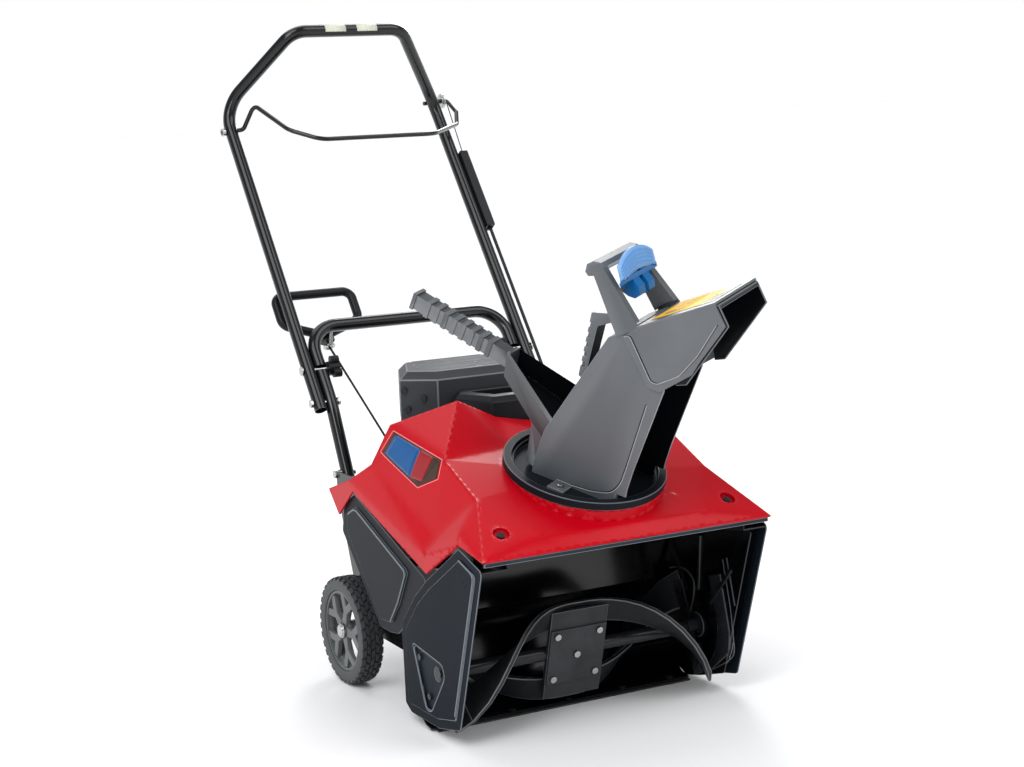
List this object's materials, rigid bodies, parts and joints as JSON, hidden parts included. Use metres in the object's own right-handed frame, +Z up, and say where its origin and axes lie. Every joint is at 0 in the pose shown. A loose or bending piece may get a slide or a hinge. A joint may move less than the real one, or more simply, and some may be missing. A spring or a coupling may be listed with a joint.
{
  "type": "snow blower",
  "caption": "Walk-behind single-stage snow blower with a paddle rotor, turning discharge chute with tilting deflector, folding tube handle, control bail and pull starter.",
  "frame": {"origin": "middle of the machine's overall footprint, on the ground under the scraper and wheels", "axes": "+Z up; the machine clears snow towards -Y; +X is the operator's left, the belt side"},
  "size_m": [0.512, 1.2159, 1.0811],
  "materials": {
    "hood_red": "glossy",
    "dark_plastic": "satin",
    "plate_paint": "satin",
    "housing_paint": "satin",
    "chute_plastic": "satin",
    "cover_plastic": "satin",
    "cover_black": "satin",
    "tube_black": "gloss",
    "steel": "zinc plated",
    "rotor_rubber": "matt",
    "rotor_paint": "satin",
    "engine_alloy": "cast",
    "black_bolt": "black oxide",
    "muffler_steel": "dull",
    "tank_plastic": "translucent white",
    "rim_plastic": "satin",
    "tyre_rubber": "matt",
    "belt_rubber": "matt",
    "rope_nylon": "braided",
    "trigger_blue": "glossy",
    "liner_black": "satin",
    "scraper_plastic": "matt"
  },
  "bodies": {
    "machine": {"auger_housing": "housing_paint", "side_plate_left": "plate_paint", "side_plate_right": "plate_paint", "scraper_bar": "scraper_plastic", "front_lip": "plate_paint", "hood": "hood_red", "chute_ring": "dark_plastic", "side_covers": "dark_plastic", "engine_deck": "housing_paint", "axle": "steel", "axle_caps": "steel", "body_bolts": "black_bolt", "frame_plates": "housing_paint", "rotor_bearings": "plate_paint", "engine_block": "engine_alloy", "recoil_housing": "cover_black", "muffler": "muffler_steel", "fuel_tank": "tank_plastic", "engine_cover": "cover_plastic", "intake_cover": "cover_black", "lower_handle": "tube_black", "loop_bolts": "steel", "fold_bolts": "steel", "drive_belt": "belt_rubber", "control_cable_lower": "cover_black", "rope_guide": "steel", "starter_rope": "rope_nylon"},
    "rotor": {"rotor_shaft": "rotor_paint", "rotor_bands": "rotor_rubber", "rotor_center_paddle": "rotor_rubber", "rotor_plate": "rotor_paint", "rotor_arms": "rotor_paint", "rotor_bolts": "steel", "rotor_pulley": "steel"},
    "crank": {"crankshaft": "steel", "engine_pulley": "steel"},
    "idler_arm": {"idler_arm": "steel"},
    "idler_pulley": {"idler_pulley": "dark_plastic"},
    "wheel_left": {"wheel_rim_left": "rim_plastic", "tyre_left": "tyre_rubber"},
    "wheel_right": {"wheel_rim_right": "rim_plastic", "tyre_right": "tyre_rubber"},
    "handle": {"upper_handle": "tube_black", "cable_cover": "cover_black", "clamp_bolts": "steel", "control_cable_upper": "cover_black"},
    "bail": {"bail": "tube_black", "bail_fittings": "steel"},
    "knob_left": {"knob_left": "cover_black"},
    "knob_right": {"knob_right": "cover_black"},
    "starter_grip": {"starter_grip": "cover_black"},
    "chute": {"chute_base": "dark_plastic", "chute_body": "chute_plastic", "chute_arm": "chute_plastic", "chute_screws": "steel", "deflector_bolts": "steel"},
    "deflector": {"deflector": "chute_plastic", "deflector_liner": "liner_black"},
    "trigger": {"trigger": "trigger_blue"},
    "fuel_cap": {"fuel_cap": "cover_black"}
  },
  "joints": [
    {"name": "crank_spin", "type": "hinge", "parent": "machine", "child": "crank", "pos_m": [0, -0.01645, 0.235], "axis": [1, 0, 0], "continuous": true},
    {"name": "rotor_spin", "type": "hinge", "parent": "machine", "child": "rotor", "pos_m": [0, -0.25945, 0.098], "axis": [1, 0, 0], "continuous": true},
    {"name": "wheel_left_spin", "type": "hinge", "parent": "machine", "child": "wheel_left", "pos_m": [0.235, 0.07855, 0.089], "axis": [1, 0, 0], "continuous": true},
    {"name": "wheel_right_spin", "type": "hinge", "parent": "machine", "child": "wheel_right", "pos_m": [-0.235, 0.07855, 0.089], "axis": [1, 0, 0], "continuous": true},
    {"name": "chute_turn", "type": "hinge", "parent": "machine", "child": "chute", "pos_m": [0, -0.29745, 0.396], "axis": [0, -0.3305, 0.9438], "range_deg": [-130, 70]},
    {"name": "deflector_tilt", "type": "hinge", "parent": "chute", "child": "deflector", "pos_m": [0.05, -0.45256, 0.5769], "axis": [0.866, 0.4719, 0.1653], "range_deg": [0, 33]},
    {"name": "trigger_squeeze", "type": "hinge", "parent": "deflector", "child": "trigger", "pos_m": [0.015, -0.42278, 0.67527], "axis": [-0.866, -0.4719, -0.1653], "range_deg": [0, 8], "stiffness_Nm_per_rad": 1, "springref_deg": -5.73},
    {"name": "handle_fold", "type": "hinge", "parent": "machine", "child": "handle", "pos_m": [0, 0.22555, 0.444], "axis": [1, 0, 0], "range_deg": [0, 80]},
    {"name": "bail_lift", "type": "hinge", "parent": "handle", "child": "bail", "pos_m": [0, 0.57925, 0.9156], "axis": [-0.9943, -0.0639, -0.0852], "range_deg": [0, 56], "stiffness_Nm_per_rad": 0.6, "springref_deg": -22.92},
    {"name": "idler_swing", "type": "hinge", "parent": "machine", "child": "idler_arm", "pos_m": [0.22, -0.06145, 0.29], "axis": [1, 0, 0], "range_deg": [0, 10]},
    {"name": "idler_spin", "type": "hinge", "parent": "idler_arm", "child": "idler_pulley", "pos_m": [0.23, -0.14285, 0.2556], "axis": [1, 0, 0], "continuous": true},
    {"name": "knob_left_turn", "type": "hinge", "parent": "handle", "child": "knob_left", "pos_m": [0.165, 0.26395, 0.4952], "axis": [1, 0, 0], "continuous": true},
    {"name": "knob_right_turn", "type": "hinge", "parent": "handle", "child": "knob_right", "pos_m": [-0.165, 0.26395, 0.4952], "axis": [1, 0, 0], "continuous": true},
    {"name": "starter_pull", "type": "slide", "parent": "machine", "child": "starter_grip", "axis": [0, 0.6, 0.8], "range_m": [0, 0.6], "stiffness_N_per_m": 20, "springref_m": -0.2},
    {"name": "fuel_cap_turn", "type": "hinge", "parent": "machine", "child": "fuel_cap", "pos_m": [0.14, 0.03855, 0.4], "axis": [0, 0, 1], "continuous": true}
  ],
  "couplings": [
    {"joint": "rotor_spin", "follows": "crank_spin", "ratio": 0.33333},
    {"joint": "idler_swing", "follows": "bail_lift", "ratio": 0.17847}
  ]
}
